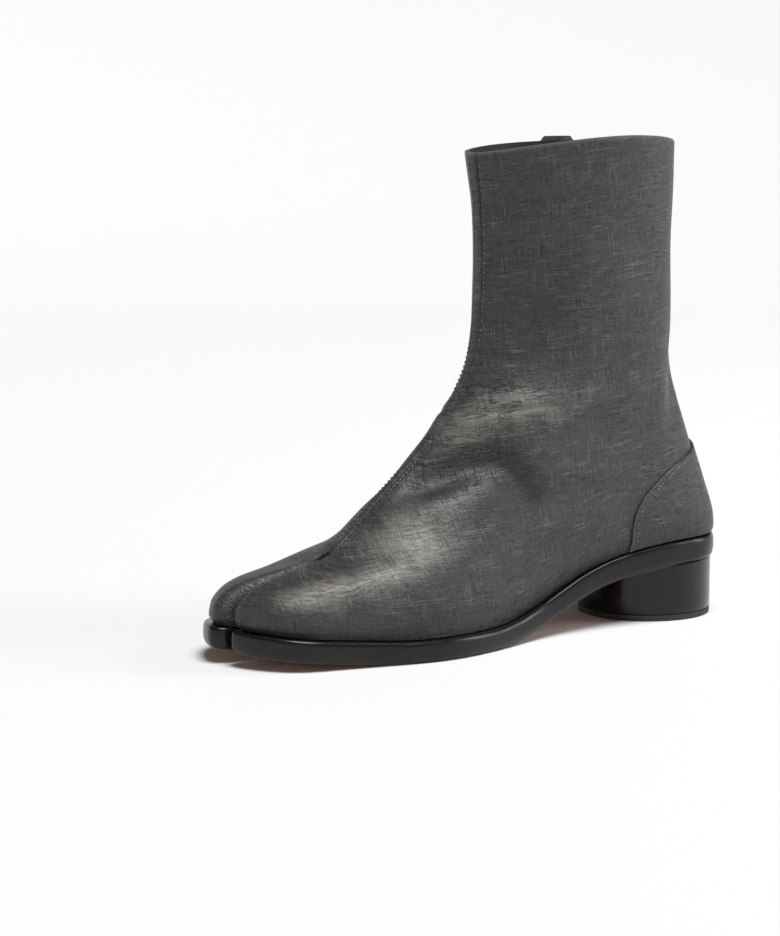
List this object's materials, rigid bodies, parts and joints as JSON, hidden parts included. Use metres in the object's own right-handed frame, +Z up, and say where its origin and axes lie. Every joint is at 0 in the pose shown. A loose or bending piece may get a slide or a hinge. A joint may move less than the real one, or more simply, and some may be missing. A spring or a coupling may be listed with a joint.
{
  "type": "split-toe ankle boot",
  "caption": "Left ankle boot with a cleft between the big toe and the other toes, a straight shaft, a heel counter patch, an inner closing flap and a low round block heel.",
  "frame": {"origin": "centre of the round heel's base, on the floor", "axes": "+X to the toe, +Y to the outer (little toe) side, +Z up"},
  "size_m": [0.2842, 0.0967, 0.2405],
  "materials": {
    "upper_leather": "distressed, matt with a waxed sheen",
    "counter_leather": "distressed, matt with a waxed sheen",
    "burnished_edge": "black burnished, satin",
    "sole_leather": "smooth tan",
    "insole_leather": "matt",
    "lacquered_heel": "black lacquer, satin",
    "top_lift_rubber": "matt"
  },
  "bodies": {
    "root": {"upper": "upper_leather", "heel_counter": "counter_leather", "closing_flap": "upper_leather", "insole": "insole_leather", "welt": "burnished_edge", "midsole": "burnished_edge", "outsole": "sole_leather", "heel_block": "lacquered_heel", "heel_top_lift": "top_lift_rubber"}
  },
  "joints": []
}
